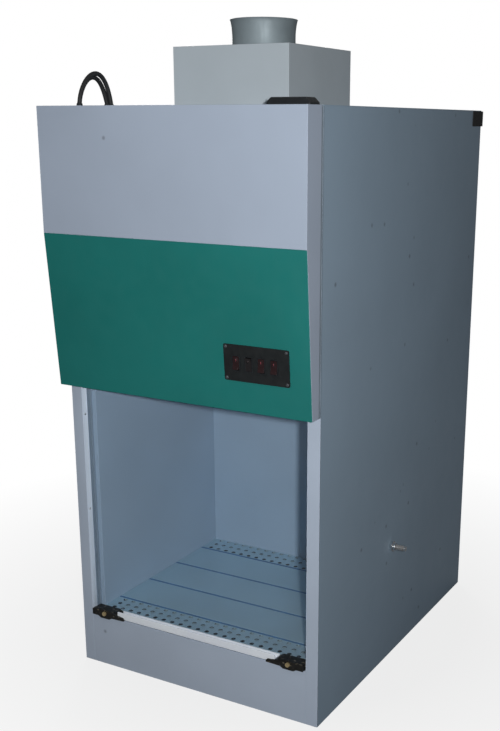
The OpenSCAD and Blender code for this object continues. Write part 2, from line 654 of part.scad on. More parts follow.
// Motor with cooling fins, seated on the closed side of the scroll
fin_count = 20;
module blower_motor() color("dimgray") translate([0, axis_y, blower_z]) difference() {
    union() {
        rod_x(half_w, half_w + 6, motor_d + 24, 64);
        rod_x(half_w + 6 - eps, half_w + motor_l, motor_d - 8, 64);
        for (i = [0 : fin_count - 1]) rotate([i * 360 / fin_count, 0, 0])
            span([half_w + 12, -1.5, motor_d / 2 - 6], [half_w + motor_l - 14, 1.5, motor_d / 2]);
    }
    rod_x(half_w - 1, half_w + motor_l - 20, shaft_d + 0.1);
}
hub_d = 40;
// Forward-curved blade between the inner and outer radius of the wheel
function blade_pt(t, side) = let (r = wheel_r - 2 - blade_len * (1 - t), a = 16 * t * t + side * 1.1)
    [r * cos(a), r * sin(a)];
module blower_wheel() color("lightgray") translate([0, axis_y, blower_z]) {
    // shaft, hub and back plate
    rod_x(wheel_w / 2 - 4, half_w + motor_l - 24, shaft_d);
    rod_x(wheel_w / 2 - 30, wheel_w / 2 + 6, hub_d);
    rod_x(wheel_w / 2 - 3, wheel_w / 2, wheel_d, 96);
    // front ring
    difference() {
        rod_x(-wheel_w / 2, -wheel_w / 2 + 3, wheel_d, 96);
        rod_x(-wheel_w / 2 - 1, -wheel_w / 2 + 4, wheel_d - 2 * blade_len, 96);
    }
    rotate([90, 0, 90]) translate([0, 0, -wheel_w / 2 + 3 - eps]) linear_extrude(wheel_w - 6 + 2 * eps)
        for (i = [0 : blade_count - 1]) rotate(i * 360 / blade_count)
            polygon(concat([for (k = [0 : 4]) blade_pt(k / 4, -0.5)],
                [for (k = [4 : -1 : 0]) blade_pt(k / 4, 0.5)]));
}

// ---------------------------------------------------------------- roof pieces
box_x = exhaust_w / 2;
module exhaust_box() color("silver") difference() {
    union() {
        span([-box_x, exhaust_cy - box_x, body_h], [box_x, exhaust_cy + box_x, body_h + exhaust_h]);
        span([-box_x - fold_w, exhaust_cy - box_x - fold_w, body_h],
            [box_x + fold_w, exhaust_cy + box_x + fold_w, body_h + sheet]);
    }
    span([-box_x + sheet, exhaust_cy - box_x + sheet, body_h - 1],
        [box_x - sheet, exhaust_cy + box_x - sheet, body_h + exhaust_h - sheet]);
    translate([0, exhaust_cy, body_h + exhaust_h - sheet - 1])
        cylinder(d = collar_d - 2 * collar_wall, h = sheet + 2, $fn = 96);
}
// Spun collar: foot flange, straight foot, flared mouth and a small rolled bead
collar_r = collar_d / 2;
bead_r = 1.6;
flare_k = 6;
flare = [for (i = [0 : flare_k]) [collar_r + collar_flare * pow(i / flare_k, 2),
    collar_foot + (collar_h - bead_r - collar_foot) * i / flare_k]];
module duct_collar() color("lightgray") translate([0, exhaust_cy, body_h + exhaust_h]) rotate_extrude($fn = 96) {
    polygon(concat([[collar_r - collar_wall, 0], [collar_r + 14, 0], [collar_r + 14, collar_wall],
        [collar_r, collar_wall]], flare,
        [for (i = [flare_k : -1 : 0]) flare[i] - [collar_wall, 0]]));
    translate([collar_r + collar_flare - collar_wall / 2, collar_h - bead_r]) circle(r = bead_r, $fn = 24);
}

// Two round leads from the hood to the roof, one behind the other in front, side by side behind
lead_top = body_h;
gland_h = 6;
lead_front = [[-258.3, front - 26.1], [-265.8, front - 17.4]];
lead_rear = [[-265.5, front + 95.7], [-277.5, front + 96.2]];
// Quartic curve through a frame of five points
function arch(p, t) = let (u = 1 - t) u * u * u * u * p[0] + 4 * t * u * u * u * p[1]
    + 6 * t * t * u * u * p[2] + 4 * t * t * t * u * p[3] + t * t * t * t * p[4];
function lead_frame(i, lean0, up0, mid, up, up1, lean1) = let (a = lead_front[i], b = lead_rear[i], k = lead_rise / 72)
    [[a[0], a[1], gland_h], [a[0], a[1] + lean0, up0 * k], [(a[0] + b[0]) / 2, front + mid, up * k],
    [b[0], b[1] - lean1, up1 * k], [b[0], b[1], gland_h]];
outer_lead = lead_frame(0, 7, 60.5, 55, 113.5, 55.5, 10);
inner_lead = lead_frame(1, 9.5, 60.5, 52.5, 90.5, 57, 16.5);
lead_steps = 24;
function route(p) = [for (i = [0 : lead_steps]) arch(p, i / lead_steps)];
function unit(v) = v / norm(v);
lead_sides = 10;
// Tube swept along a route; each ring stands square to the route
module sweep(route, d) {
    n = len(route);
    side = [1, 0, 0];
    rings = [for (i = [0 : n - 1]) let (t = i == 0 || i == n - 1 ? (i == 0 ? [0, 0, 1] : [0, 0, -1])
        : unit(route[i + 1] - route[i - 1]), u = unit(side - (side * t) * t), w = cross(t, u))
        [for (k = [0 : lead_sides - 1]) let (a = k * 360 / lead_sides) route[i] + d / 2 * (cos(a) * u + sin(a) * w)]];
    m = lead_sides;
    polyhedron([for (r = rings) each r], concat([[for (k = [0 : m - 1]) k]],
        [for (i = [0 : n - 2], k = [0 : m - 1]) let (a = i * m, b = a + m, q = (k + 1) % m)
            each [[a + k, b + q, a + q], [a + k, b + k, b + q]]],
        [[for (k = [m - 1 : -1 : 0]) (n - 1) * m + k]]));
}
module switch_leads() color("black") translate([0, 0, lead_top]) {
    sweep(route(outer_lead), lead_d);
    sweep(route(inner_lead), lead_d);
}
// Twin glands: round stems through the sheet with a low collar under each end of the leads
module gland(p) translate([p[0], p[1], 0]) {
    translate([0, 0, roof_z - 6]) cylinder(d = lead_d + 3, h = 6 + sheet + eps, $fn = 32);
    translate([0, 0, lead_top]) cylinder(d1 = lead_d + 5, d2 = lead_d + 1.5, h = gland_h, $fn = 32);
}
module lead_glands() color("black") { for (p = lead_front) gland(p); for (p = lead_rear) gland(p); }

// Low moulded cover over the wiring on the roof
wc_x0 = right - wiring_cover_in - wiring_cover_w;
module wiring_cover() color("black") {
    y0 = front + 4;
    along_y(y0, y0 + wiring_cover_d) polygon([[wc_x0, body_h], [wc_x0 + wiring_cover_w, body_h],
        [wc_x0 + wiring_cover_w, body_h + wiring_cover_h / 3],
        [wc_x0 + wiring_cover_w - 11, body_h + wiring_cover_h],
        [wc_x0 + 11, body_h + wiring_cover_h], [wc_x0, body_h + wiring_cover_h / 3]]);
}

// Rubber bumper that wraps the rear top corner
bumper_l = 70;
bumper_h = 40;
bumper_t = 4;
bumper_rear = 8;
module bumper() translate([0, 0, body_h - 2 - bumper_h]) linear_extrude(bumper_h) polygon([
    [right, back - bumper_l], [right + bumper_t - 2, back - bumper_l], [right + bumper_t, back - bumper_l + 4],
    [right + bumper_t, back + bumper_rear - 4], [right + bumper_t - 4, back + bumper_rear],
    [right - 40, back + bumper_rear], [right - 40, back], [right, back]]);
module left_bumper() color("black") mirror([1, 0, 0]) bumper();
module right_bumper() color("black") bumper();

// ---------------------------------------------------------------- service cock
// Hose nipple outside the cabinet, with its supply pipe through the wall cavity
barb = 3;
module hose_nipple() color("gainsboro") translate([0, cock_y0, cock_z]) {
    rod_x(chamber_x, right + 1, pipe_d);
    rotate([0, 90, 0]) {
        translate([0, 0, right]) cylinder(d = 30, h = 8, $fn = 6);
        translate([0, 0, right + 8 - eps]) cylinder(d = 20, h = 6, $fn = 48);
        translate([0, 0, right + 14 - 2 * eps]) cylinder(d = 14, h = nipple_l - 14, $fn = 48);
        for (i = [0 : barb - 1]) translate([0, 0, right + 16 + i * (nipple_l - 18) / barb])
            cylinder(d1 = 18, d2 = 14, h = (nipple_l - 18) / barb, $fn = 48);
    }
}
// Cock inside the chamber: wall flange, body, valve barrel and outlet
module service_cock() color("gainsboro") translate([0, cock_y0, cock_z]) difference() {
    union() {
        rod_x(chamber_x - 4, chamber_x, 34);
        rod_x(chamber_x - 46, chamber_x - 4 + eps, 18);
        translate([chamber_x - 26, 0, -15]) cylinder(d = 26, h = 30, $fn = 48);
        rod_x(chamber_x - 66, chamber_x - 46 + eps, 11);
    }
    rod_x(chamber_x - 67, chamber_x - 40, 6, 32);
    translate([chamber_x - 26, 0, 5]) cylinder(d = 8.1, h = 12, $fn = 32);
}
module cock_lever() color("darkorange") translate([chamber_x - 26, cock_y0, cock_z]) {
    translate([0, 0, 6]) cylinder(d = 8, h = 12, $fn = 32);
    translate([0, 0, 15.3]) cylinder(d = 20, h = 6, $fn = 48);
    // grip points forward when the cock is closed
    translate([-4.5, -46, 15.3]) cube([9, 46, 6]);
    translate([0, -46, 15.3]) cylinder(d = 9, h = 6, $fn = 32);
}

base_pan();
left_side_panel();
right_side_panel();
rear_panel();
rear_panel_screws();
roof_panel();
left_pillar();
right_pillar();
front_sill();
left_chamber_wall();
right_chamber_wall();
back_chamber_wall();
ceiling_diffuser();
tray_rails();
front_grille();
front_tray();
middle_tray();
rear_tray();
rear_grille();
tray_seals();
plenum_front_wall();
plenum_rear_wall();
supply_filter();
exhaust_filter();
hood_cover();
hood_panel();
hood_seal();
switch_plate();
switch_bezels();
plate_screws();
rocker_1();
rocker_2();
rocker_3();
rocker_4();
left_sash_guide();
right_sash_guide();
sash_pane();
sash_rail();
left_sash_clamp();
right_sash_clamp();
left_clamp_screw();
right_clamp_screw();
fluorescent_tube();
fluorescent_holders();
uv_tube();
uv_holders();
blower_housing();
blower_motor();
blower_wheel();
exhaust_box();
duct_collar();
lead_glands();
switch_leads();
wiring_cover();
left_bumper();
right_bumper();
hose_nipple();
service_cock();
cock_lever();
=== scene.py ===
# %% [markdown]
# # A bench-top biosafety cabinet
# This lesson dresses the imported model of a biosafety cabinet: a sheet-steel shell with a
# sliding clear screen, a perforated work floor, a sloped hood that carries the switches, and
# an exhaust collar on the roof. The solids give every size and place. Here they get their
# finishes, and the pieces whose edges and details matter are modelled again.

# %% Load the frame
import bpy, bmesh, json, math
from mathutils import Matrix, Vector

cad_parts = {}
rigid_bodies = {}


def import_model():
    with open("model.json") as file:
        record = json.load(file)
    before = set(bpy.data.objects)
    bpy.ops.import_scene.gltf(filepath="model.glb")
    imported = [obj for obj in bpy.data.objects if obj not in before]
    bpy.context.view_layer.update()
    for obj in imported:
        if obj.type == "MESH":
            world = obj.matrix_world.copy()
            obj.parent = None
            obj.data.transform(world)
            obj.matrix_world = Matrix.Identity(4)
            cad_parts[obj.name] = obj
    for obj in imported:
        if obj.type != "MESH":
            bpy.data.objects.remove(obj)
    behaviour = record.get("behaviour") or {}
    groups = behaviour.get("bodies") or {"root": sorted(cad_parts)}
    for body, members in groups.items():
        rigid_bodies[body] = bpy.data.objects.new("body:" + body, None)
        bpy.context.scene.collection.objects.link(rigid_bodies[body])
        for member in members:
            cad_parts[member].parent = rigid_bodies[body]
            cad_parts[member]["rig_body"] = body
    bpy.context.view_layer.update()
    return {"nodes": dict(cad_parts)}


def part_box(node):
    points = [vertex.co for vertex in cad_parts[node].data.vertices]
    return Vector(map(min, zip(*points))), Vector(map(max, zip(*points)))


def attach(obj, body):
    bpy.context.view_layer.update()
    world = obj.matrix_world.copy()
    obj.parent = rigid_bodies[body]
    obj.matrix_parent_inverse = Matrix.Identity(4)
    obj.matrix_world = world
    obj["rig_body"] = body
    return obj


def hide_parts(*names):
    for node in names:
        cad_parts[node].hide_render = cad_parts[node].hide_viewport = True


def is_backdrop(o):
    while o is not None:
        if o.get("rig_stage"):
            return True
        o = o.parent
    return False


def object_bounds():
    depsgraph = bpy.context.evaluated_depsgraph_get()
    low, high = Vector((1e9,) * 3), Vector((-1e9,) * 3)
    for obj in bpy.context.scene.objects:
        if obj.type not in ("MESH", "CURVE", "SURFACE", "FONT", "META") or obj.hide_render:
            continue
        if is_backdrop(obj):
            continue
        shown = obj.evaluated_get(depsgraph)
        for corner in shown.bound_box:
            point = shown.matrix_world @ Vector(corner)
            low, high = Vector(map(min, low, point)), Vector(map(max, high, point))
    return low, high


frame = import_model()
nodes = frame["nodes"]

# %% [markdown]
# ## The camera
# The camera stands to the right of the front, a little lower than the roof and 2.2 metres
# from the nearest corner, and it looks down by sixteen degrees. The lens is a short telephoto
# and the shift only places the object in the frame, so the depth of the cabinet is drawn at
# its true proportion.

# %% Place the camera
turn, rise, roll = math.radians(28.91), math.radians(15.72), math.radians(-0.23)
away = Vector((math.sin(turn) * math.cos(rise), -math.cos(turn) * math.cos(rise), math.sin(rise)))
side = (-away).cross(Vector((0, 0, 1))).normalized()
down = (-away).cross(side)
along = side * math.cos(roll) + down * math.sin(roll)
upward = side * math.sin(roll) - down * math.cos(roll)
eye = bpy.data.objects.new("camera", bpy.data.cameras.new("camera"))
bpy.context.scene.collection.objects.link(eye)
eye.matrix_world = Matrix((along, upward, away)).transposed().to_4x4()
eye.location = Vector((1.3667, -2.43665, 1.38175))
eye.data.sensor_width = 36
eye.data.lens = 51.762
eye.data.shift_x, eye.data.shift_y = -0.0598, 0.0747
bpy.context.scene.camera = eye
bpy.context.scene.view_settings.view_transform = "Standard"
print("camera at", [round(v, 2) for v in eye.location])

# %% [markdown]
# ## Floor, backdrop and light
# The cabinet stands on a pale floor in a plain bright room. Near the cabinet the floor keeps
# the soft shadow, and further out it fades into the backdrop. The backdrop is only a colour
# for the camera, with a small share of it in reflections; it adds no light. The main lamp is
# small and stands just to the right of the camera, so the shadows inside the chamber are
# crisp. A broad ceiling lamp above the front lifts the faces that look forward, and another
# behind does so for the back.

# %% Set the room light and the backdrop
GLOSS_SHARE = 0.15
room = bpy.data.worlds.new("room")
bpy.context.scene.world = room
room.use_nodes = True
room_tree = room.node_tree
room_tree.nodes.clear()
seen = room_tree.nodes.new("ShaderNodeLightPath")
either = room_tree.nodes.new("ShaderNodeMath")
either.operation = "MAXIMUM"
room_tree.links.new(seen.outputs["Is Camera Ray"], either.inputs[0])
room_tree.links.new(seen.outputs["Is Transmission Ray"], either.inputs[1])
gloss = room_tree.nodes.new("ShaderNodeMath")
gloss.operation = "MULTIPLY_ADD"
gloss.inputs[1].default_value = GLOSS_SHARE
room_tree.links.new(seen.outputs["Is Glossy Ray"], gloss.inputs[0])
room_tree.links.new(either.outputs[0], gloss.inputs[2])
even = room_tree.nodes.new("ShaderNodeBackground")
even.inputs["Color"].default_value = (0.93, 0.96, 1.0, 1)
even.inputs["Strength"].default_value = 0.012
paper = room_tree.nodes.new("ShaderNodeBackground")
paper.inputs["Color"].default_value = (1, 1, 1, 1)
paper.inputs["Strength"].default_value = 1.0
choose = room_tree.nodes.new("ShaderNodeMixShader")
sky = room_tree.nodes.new("ShaderNodeOutputWorld")
room_tree.links.new(gloss.outputs[0], choose.inputs[0])
room_tree.links.new(even.outputs[0], choose.inputs[1])
room_tree.links.new(paper.outputs[0], choose.inputs[2])
room_tree.links.new(choose.outputs[0], sky.inputs[0])


def lamp(name, place, aim, size, watts, spread=180):
    light = bpy.data.lights.new(name, "AREA")
    light.shape, light.size, light.energy = "DISK", size, watts
    light.spread = math.radians(spread)
    stand = bpy.data.objects.new(name, light)
    bpy.context.scene.collection.objects.link(stand)
    stand.location = place
    stand.rotation_euler = (Vector(aim) - Vector(place)).to_track_quat("-Z", "Y").to_euler()
    return stand


lamp("key_lamp", place=(1.53, -2.52, 1.44), aim=(0, -0.5, 1.38), size=0.07, watts=40, spread=150)
lamp("ceiling_lamp", place=(-0.5, -2.1, 3.3), aim=(0, -0.5, 0.9), size=1.2, watts=8)
lamp("back_lamp", place=(-2.2, 3.0, 2.4), aim=(0, 0.3, 0.7), size=1.6, watts=110)
print("room light", even.inputs["Strength"].default_value)

# %% Lay the floor
bpy.ops.object.select_all(action="DESELECT")
bpy.ops.mesh.primitive_plane_add(size=24, location=(0, 0, -0.0005))
floor = bpy.context.object
floor.name = "studio_floor"
floor_paint = bpy.data.materials.new("studio_floor_paint")
floor_paint.use_nodes = True
floor_tree = floor_paint.node_tree
floor_tree.nodes.clear()
NEAR_EDGE, FAR_EDGE = 0.5, 1.6
NEAR_GLOW, FAR_GLOW = 0.82, 1.0
matt = floor_tree.nodes.new("ShaderNodeBsdfDiffuse")
matt.inputs["Color"].default_value = (0.26, 0.265, 0.27, 1)
glow = floor_tree.nodes.new("ShaderNodeEmission")
glow.inputs["Color"].default_value = (1, 1, 1, 1)
where = floor_tree.nodes.new("ShaderNodeTexCoord")
far = floor_tree.nodes.new("ShaderNodeVectorMath")
far.operation = "LENGTH"
fade = floor_tree.nodes.new("ShaderNodeMapRange")
fade.inputs["From Min"].default_value, fade.inputs["From Max"].default_value = NEAR_EDGE, FAR_EDGE
fade.inputs["To Min"].default_value, fade.inputs["To Max"].default_value = NEAR_GLOW, FAR_GLOW
sight = floor_tree.nodes.new("ShaderNodeLightPath")
share = floor_tree.nodes.new("ShaderNodeMath")
share.operation = "MULTIPLY"
cover = floor_tree.nodes.new("ShaderNodeMixShader")
ground = floor_tree.nodes.new("ShaderNodeOutputMaterial")
floor_tree.links.new(where.outputs["Object"], far.inputs[0])
floor_tree.links.new(far.outputs["Value"], fade.inputs["Value"])
floor_tree.links.new(fade.outputs["Result"], share.inputs[0])
floor_tree.links.new(sight.outputs["Is Camera Ray"], share.inputs[1])
floor_tree.links.new(share.outputs[0], cover.inputs[0])
floor_tree.links.new(matt.outputs[0], cover.inputs[1])
floor_tree.links.new(glow.outputs[0], cover.inputs[2])
floor_tree.links.new(cover.outputs[0], ground.inputs[0])
floor.data.materials.append(floor_paint)
floor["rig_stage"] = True

# %% [markdown]
# ## Finishes
# Every finish is built the same way: a colour that drifts a little over the surface, a
# roughness that drifts with it, and a fine relief. The object's own coordinates are in
# metres, so a noise scale of 700 makes a grain about one and a half millimetres wide.

# %% Helpers for the finishes
def noise(tree, scale, detail=2.0, stretch=(1, 1, 1)):
    where = tree.nodes.new("ShaderNodeTexCoord")
    fit = tree.nodes.new("ShaderNodeMapping")
    fit.inputs["Scale"].default_value = stretch
    grain = tree.nodes.new("ShaderNodeTexNoise")
    grain.inputs["Scale"].default_value = scale
    grain.inputs["Detail"].default_value = detail
    tree.links.new(where.outputs["Object"], fit.inputs["Vector"])
    tree.links.new(fit.outputs["Vector"], grain.inputs["Vector"])
    return grain.outputs["Fac"]


def ramp(tree, source, low, high, start=0.35, end=0.65):
    reach = tree.nodes.new("ShaderNodeMapRange")
    limits = {"From Min": start, "From Max": end, "To Min": low, "To Max": high}
    for socket, value in limits.items():
        reach.inputs[socket].default_value = value
    tree.links.new(source, reach.inputs["Value"])
    return reach.outputs["Result"]


def blend_colours(tree, factor, first, second):
    mix = tree.nodes.new("ShaderNodeMix")
    mix.data_type = "RGBA"
    for index, value in ((6, first), (7, second)):
        if isinstance(value, (tuple, list)):
            mix.inputs[index].default_value = (*value, 1)
        else:
            tree.links.new(value, mix.inputs[index])
    tree.links.new(factor, mix.inputs[0])
    return mix.outputs[2]


def relief(tree, shader, height, depth, strength=1.0):
    bump = tree.nodes.new("ShaderNodeBump")
    bump.inputs["Distance"].default_value = depth
    bump.inputs["Strength"].default_value = strength
    tree.links.new(height, bump.inputs["Height"])
    tree.links.new(bump.outputs["Normal"], shader.inputs["Normal"])
    return bump


def finish(name, colour, drift=0.06, drift_scale=5, rough=0.45, spread=0.06, grain=700,
           depth=0.00004, metal=0.0, stretch=(1, 1, 1)):
    material = bpy.data.materials.new(name)
    material.use_nodes = True
    tree = material.node_tree
    shader = tree.nodes["Principled BSDF"]
    shader.inputs["Metallic"].default_value = metal
    cloud = noise(tree, drift_scale, 4.0)
    dark = tuple(c * (1 - drift) for c in colour)
    light = tuple(min(1, c * (1 + drift)) for c in colour)
    tone = blend_colours(tree, ramp(tree, cloud, 0, 1), dark, light)
    tree.links.new(tone, shader.inputs["Base Color"])
    smears = noise(tree, drift_scale * 7, 3.0, stretch)
    tree.links.new(ramp(tree, smears, rough - spread, rough + spread), shader.inputs["Roughness"])
    relief(tree, shader, noise(tree, grain, 2.0, stretch), depth)
    return material


# %% [markdown]
# Enamel on sheet steel is never quite even: it has a fine skin like orange peel, a slight
# drift of tone, and dust that settles in specks. The hood is a lighter blue grey than the
# body, and its sloped panel is a satin green. A dark enamel on thin edges beside a joint is
# painted shade for the shadow in the gap.

# %% Make the enamels
SPECK_COVER, SPECK_CORE = 0.75, 0.35


def dust(material, colour, per_metre, radius):
    """Scatters dark specks where a point of a cell pattern lies close to the surface."""
    tree = material.node_tree
    shader = tree.nodes["Principled BSDF"]
    old = shader.inputs["Base Color"].links[0].from_socket
    where = tree.nodes.new("ShaderNodeTexCoord")
    cells = tree.nodes.new("ShaderNodeTexVoronoi")
    cells.inputs["Scale"].default_value = per_metre
    tree.links.new(where.outputs["Object"], cells.inputs["Vector"])
    reach = radius * per_metre
    specks = ramp(tree, cells.outputs["Distance"], SPECK_COVER, 0, reach * SPECK_CORE, reach)
    tree.links.new(blend_colours(tree, specks, old, colour), shader.inputs["Base Color"])


body_paint = finish("body_enamel", (0.265, 0.352, 0.44), drift=0.03, drift_scale=3, rough=0.5,
                    spread=0.04, depth=0.000012)
frame_paint = finish("frame_enamel", (0.44, 0.51, 0.615), drift=0.03, rough=0.48, spread=0.04,
                     depth=0.000012)
chamber_paint = finish("chamber_enamel", (0.29, 0.395, 0.515), drift=0.035, drift_scale=4,
                       rough=0.5, spread=0.04, depth=0.00001)
hood_grey = finish("hood_grey_enamel", (0.36, 0.42, 0.515), drift=0.03, drift_scale=4, rough=0.46,
                   spread=0.04, depth=0.000012)
hood_green = finish("hood_green_enamel", (0.0092, 0.163, 0.148), drift=0.05, rough=0.5,
                    spread=0.04, depth=0.000012)
duct_paint = finish("duct_enamel", (0.42, 0.475, 0.515), drift=0.03, drift_scale=6, rough=0.5,
                    spread=0.05, depth=0.000012)
seal_grey = finish("seal_moulding", (0.20, 0.25, 0.30), drift=0.1, drift_scale=20, rough=0.6,
                   spread=0.05, depth=0.00005)
# Painted shade: this dark enamel goes on thin edges in the joint with the hood and stands for the
# shadow in the gap.
joint_shade_paint = finish("painted_joint_shade_enamel", (0.10, 0.135, 0.17), drift=0.1, drift_scale=20, rough=0.6,
                    spread=0.05, depth=0.00002)

SPECKS = [(body_paint, (0.13, 0.16, 0.19), 12, 0.007), (frame_paint, (0.18, 0.20, 0.24), 12, 0.007),
          (chamber_paint, (0.16, 0.20, 0.26), 8, 0.005), (hood_grey, (0.18, 0.20, 0.24), 9, 0.006)]
for enamel, colour, per_metre, radius in SPECKS:
    dust(enamel, colour, per_metre, radius)
for enamel in (body_paint, frame_paint, chamber_paint, hood_grey, duct_paint):
    enamel.node_tree.nodes["Principled BSDF"].inputs["Specular IOR Level"].default_value = 0.3

# %% Make the bare metals
# The blue cast of this steel is partly its own tone and partly a painted reflection of the blue
# chamber walls around the work floor.
stainless_with_painted_reflection = finish("stainless_sheet_with_painted_reflection", (0.47, 0.66, 0.755), drift=0.04, drift_scale=6, rough=0.42,
                   spread=0.05, grain=900, depth=0.000008, metal=0.6, stretch=(0.04, 1, 1))
galvanised = finish("galvanised_sheet", (0.50, 0.52, 0.54), drift=0.12, drift_scale=40, rough=0.48,
                    spread=0.10, grain=300, depth=0.00002, metal=0.8)
collar_steel = finish("collar_steel", (0.235, 0.285, 0.31), drift=0.10, drift_scale=14, rough=0.55,
                      depth=0.00001, metal=0.25, stretch=(1, 1, 0.05))
anodised = finish("anodised_rail", (0.87, 0.92, 1.0), drift=0.03, drift_scale=9, spread=0.05,
                  grain=900, depth=0.00001, stretch=(0.05, 1, 1))
trim_metal = finish("brushed_trim", (0.72, 0.82, 0.95), drift=0.04, drift_scale=9, rough=0.42,
                    spread=0.05, grain=900, depth=0.00001, stretch=(1, 1, 0.05))
dull_screw = finish("dulled_screw_steel", (0.20, 0.21, 0.23), drift=0.1, drift_scale=60, rough=0.4,
                    grain=900, depth=0.00002, metal=0.8)
brass = finish("turned_brass", (0.70, 0.55, 0.30), drift=0.10, drift_scale=60, rough=0.42,
               spread=0.10, grain=900, depth=0.00003, metal=0.7)
plated = finish("plated_screw_steel", (0.66, 0.67, 0.69), drift=0.08, drift_scale=60, rough=0.30,
                spread=0.08, grain=900, depth=0.00002, metal=0.95)
chrome = finish("polished_chrome", (0.78, 0.79, 0.80), drift=0.04, drift_scale=40, rough=0.12,
                spread=0.05, grain=500, depth=0.00001, metal=1.0)
iron = finish("motor_casting", (0.06, 0.07, 0.08), drift=0.15, drift_scale=30, rough=0.6,
              spread=0.08, grain=420, depth=0.0002)

# %% Make the plastics, rubber, filter and glass finishes
clamp_iron = finish("blackened_clamp", (0.022, 0.021, 0.019), drift=0.3, drift_scale=60,
                    spread=0.12, grain=400, depth=0.00015, metal=0.4)
clamp_tree = clamp_iron.node_tree
worn = clamp_tree.nodes["Principled BSDF"].inputs["Base Color"]
bare = ramp(clamp_tree, noise(clamp_tree, 110, 3.0), 0, 0.85, 0.60, 0.70)
rubbed = blend_colours(clamp_tree, bare, worn.links[0].from_socket, (0.33, 0.29, 0.22))
clamp_tree.links.new(rubbed, worn)
guide_grey = finish("guide_moulding", (0.205, 0.275, 0.355), drift=0.08, drift_scale=12, rough=0.5,
                    depth=0.00005)
black_plastic = finish("black_moulding", (0.009, 0.011, 0.013), drift=0.2, drift_scale=20,
                       rough=0.42, spread=0.08, grain=900, depth=0.00006)
rubber = finish("black_rubber", (0.013, 0.014, 0.015), drift=0.25, drift_scale=18, rough=0.68,
                spread=0.08, grain=800, depth=0.00010)
plate_dark = finish("plate_enamel", (0.008, 0.010, 0.011), drift=0.2, drift_scale=14, rough=0.5,
                    grain=900, depth=0.00002)
blue_strip = finish("blue_strip_rubber", (0.035, 0.16, 0.36), drift=0.16, drift_scale=20,
                    rough=0.55, depth=0.00006)
filter_board = finish("filter_board", (0.52, 0.42, 0.28), drift=0.18, drift_scale=60, rough=0.8,
                      spread=0.05, grain=400, depth=0.0003)
white_moulding = finish("white_moulding", (0.66, 0.66, 0.62), drift=0.05, drift_scale=10,
                        rough=0.4, spread=0.05)
lamp_glass = finish("coated_lamp_glass", (0.80, 0.82, 0.84), drift=0.03, drift_scale=12,
                    rough=0.12, spread=0.03, grain=300, depth=0.00001)
orange_plastic = finish("orange_moulding", (0.66, 0.16, 0.02), drift=0.08, drift_scale=14,
                        rough=0.34, spread=0.05)
red_lens = finish("smoked_red_rocker", (0.020, 0.008, 0.009), drift=0.1, drift_scale=60,
                  rough=0.34, spread=0.05, depth=0.00002)
dark_lens = finish("smoked_dark_rocker", (0.014, 0.012, 0.013), drift=0.1, drift_scale=60,
                   rough=0.34, spread=0.05, depth=0.00002)
# Painted glow: this bright red on the bars of the red rockers stands for their lit lamps.
red_mark_glow = finish("lit_red_mark", (0.30, 0.06, 0.08), drift=0.05, drift_scale=60, rough=0.3,
                  spread=0.04, depth=0.00002)
dim_mark = finish("unlit_mark", (0.05, 0.035, 0.04), drift=0.05, drift_scale=60, rough=0.3,
                  spread=0.04, depth=0.00002)
# This near-black finish of the base pan and rails also serves as painted shade on the walls of the
# grille holes.
sump_and_hole_shade = finish("sump_enamel_and_hole_shade", (0.014, 0.022, 0.032), drift=0.1, drift_scale=10, rough=0.6,
              spread=0.05, grain=400)

# %% [markdown]
# The screen is clear acrylic with a faint haze of fine scratches and wiped dust. A small
# share of the surface is shaded as a pale haze and the rest lets everything through, so the
# light reaches the chamber as it does through the real sheet.

# %% Make the clear screen finish
clear = finish("clear_acrylic", (0.50, 0.62, 0.74), drift=0.05, rough=0.16, spread=0.05, grain=500,
               depth=0.000005)
LEAST_HAZE, MOST_HAZE = 0.015, 0.035
clear_tree = clear.node_tree
haze = ramp(clear_tree, noise(clear_tree, 3.0, 5.0, (0.4, 1, 1.6)), LEAST_HAZE, MOST_HAZE)
clear_tree.links.new(haze, clear_tree.nodes["Principled BSDF"].inputs["Alpha"])

# %% Give every node its finish
FINISH = {
    body_paint: ["left_side_panel", "right_side_panel", "rear_panel", "roof_panel"],
    frame_paint: ["left_pillar", "right_pillar", "front_sill", "ceiling_diffuser"],
    chamber_paint: ["left_chamber_wall", "right_chamber_wall", "back_chamber_wall"],
    hood_grey: ["hood_cover"],
    hood_green: ["hood_panel"],
    duct_paint: ["exhaust_box", "duct_collar"],
    stainless_with_painted_reflection: ["front_grille", "front_tray", "middle_tray", "rear_tray", "rear_grille"],
    sump_and_hole_shade: ["base_pan", "tray_rails"],
    galvanised: ["plenum_front_wall", "plenum_rear_wall", "blower_housing", "blower_wheel"],
    anodised: ["sash_rail"],
    brass: ["left_clamp_screw", "right_clamp_screw"],
    plated: ["rear_panel_screws"],
    dull_screw: ["plate_screws"],
    chrome: ["hose_nipple", "service_cock"],
    iron: ["blower_motor"],
    guide_grey: ["left_sash_guide", "right_sash_guide"],
    clamp_iron: ["left_sash_clamp", "right_sash_clamp"],
    black_plastic: ["switch_bezels", "lead_glands", "wiring_cover"],
    seal_grey: ["hood_seal"],
    rubber: ["left_bumper", "right_bumper", "switch_leads"],
    plate_dark: ["switch_plate"],
    blue_strip: ["tray_seals"],
    filter_board: ["supply_filter", "exhaust_filter"],
    white_moulding: ["fluorescent_holders", "uv_holders"],
    lamp_glass: ["fluorescent_tube", "uv_tube"],
    orange_plastic: ["cock_lever"],
    red_lens: ["rocker_1", "rocker_3", "rocker_4"],
    dark_lens: ["rocker_2"],
    clear: ["sash_pane"],
}
for material, names in FINISH.items():
    for name in names:
        for socket in nodes[name].material_slots:
            socket.material = material
print("dressed", sum(len(names) for names in FINISH.values()), "of", len(nodes))

# %% [markdown]
# ## Modelling by hand
# The helpers below do what a hand does in the viewport: put down one primitive, open its
# mesh, pick faces or edges by where they lie, change them, and close it again. Every piece
# is finished in the same way: its edges get a small round, its normals are weighted towards
# the large flat faces, and it is tied to the moving body that it belongs to.

